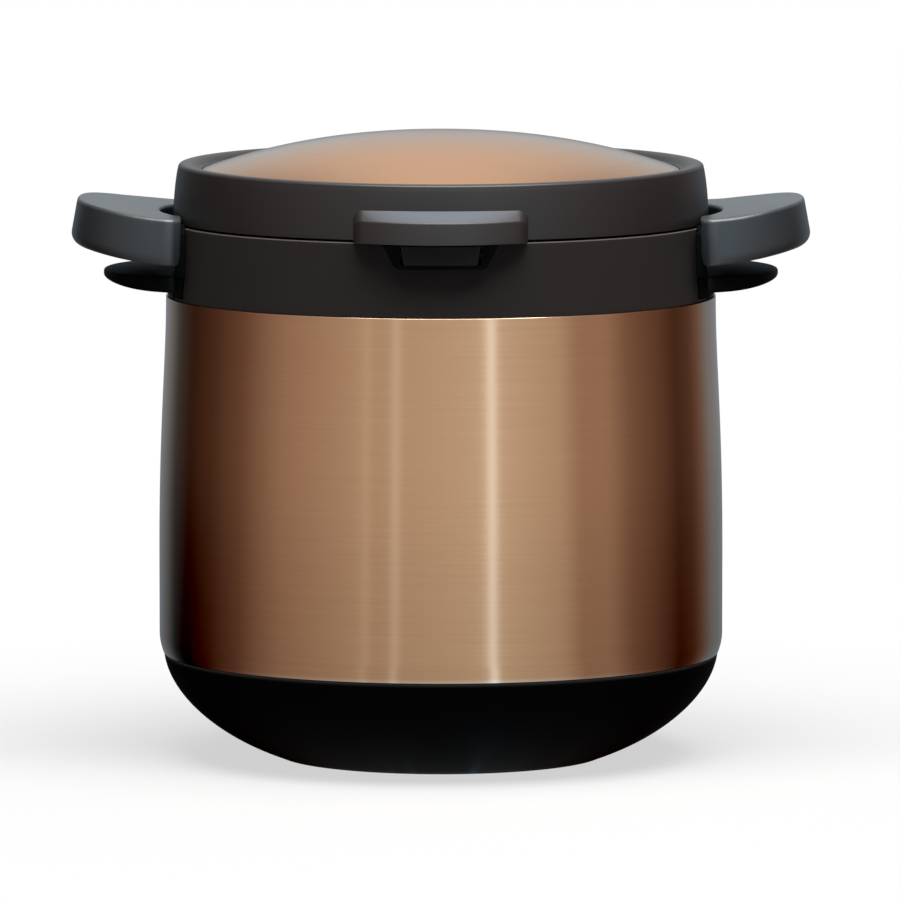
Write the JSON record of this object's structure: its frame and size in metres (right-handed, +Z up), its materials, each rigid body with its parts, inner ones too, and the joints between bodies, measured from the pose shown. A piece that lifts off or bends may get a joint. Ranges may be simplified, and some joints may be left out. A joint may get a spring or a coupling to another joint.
{
  "type": "thermal cooker",
  "caption": "Vacuum-insulated round cooker with a removable inner pot, a rear-hinged domed lid with a push-button latch, and two ear grips.",
  "frame": {"origin": "centre of the foot pad's underside, on the table", "axes": "+Z up; -Y is the front, with the latch; the hinge is at +Y; the ear grips lie along X"},
  "size_m": [0.34, 0.2765, 0.289],
  "materials": {
    "copper_steel": "satin",
    "steel": "satin",
    "black_plastic": "satin",
    "gloss_black": "gloss",
    "collar_plastic": "satin",
    "lid_plastic": "satin",
    "grip_plastic": "satin",
    "pan_plastic": "matte",
    "rubber": "matte",
    "silicone": "matte",
    "foam": "matte"
  },
  "bodies": {
    "body": {"bail": "steel", "bail_lug_left": "steel", "bail_lug_right": "steel", "base_cup": "black_plastic", "bottom_plate": "steel", "bracket_screw_left": "steel", "bracket_screw_right": "steel", "button_spring_left": "steel", "button_spring_right": "steel", "collar": "collar_plastic", "foot_pad": "rubber", "grip_left": "grip_plastic", "grip_right": "grip_plastic", "grip_screw_left_front": "steel", "grip_screw_left_rear": "steel", "grip_screw_right_front": "steel", "grip_screw_right_rear": "steel", "guard_left": "gloss_black", "guard_right": "gloss_black", "guard_screw_left_front": "steel", "guard_screw_left_rear": "steel", "guard_screw_right_front": "steel", "guard_screw_right_rear": "steel", "hinge_bracket": "collar_plastic", "hinge_pin": "steel", "housing_screw_left": "steel", "housing_screw_right": "steel", "inner_liner": "steel", "inner_pot": "steel", "latch_housing": "black_plastic", "mouth_seal": "silicone", "outer_shell": "copper_steel", "pot_base_disc": "steel", "vacuum_seal_cap": "steel"},
    "button": {"release_button": "black_plastic"},
    "lid": {"catch_hook": "black_plastic", "hinge_leaf": "lid_plastic", "hook_screw": "steel", "leaf_screw_left": "steel", "leaf_screw_right": "steel", "lid_dome": "copper_steel", "lid_foam": "foam", "lid_gasket": "silicone", "lid_pan": "pan_plastic", "lid_ring": "lid_plastic", "lid_screw_left_front": "steel", "lid_screw_left_rear": "steel", "lid_screw_right_front": "steel", "lid_screw_right_rear": "steel", "lift_tab": "lid_plastic", "tab_screw_left": "steel", "tab_screw_right": "steel"},
    "inner_lid": {"pot_lid": "steel", "pot_knob": "black_plastic", "knob_screw": "steel"}
  },
  "joints": [
    {"name": "lid_hinge", "type": "hinge", "parent": "body", "child": "lid", "pos_m": [0, 0.134, 0.2495], "axis": [-1, 0, 0], "range_deg": [0, 100]},
    {"name": "button_press", "type": "slide", "parent": "body", "child": "button", "axis": [0, 1, 0], "range_m": [0, 0.002], "stiffness_N_per_m": 600, "springref_m": -0.003, "deforming": ["button_spring_left", "button_spring_right"]},
    {"name": "inner_lid_lift", "type": "slide", "parent": "body", "child": "inner_lid", "axis": [0, 0, 1], "range_m": [0, 0.0045]}
  ]
}
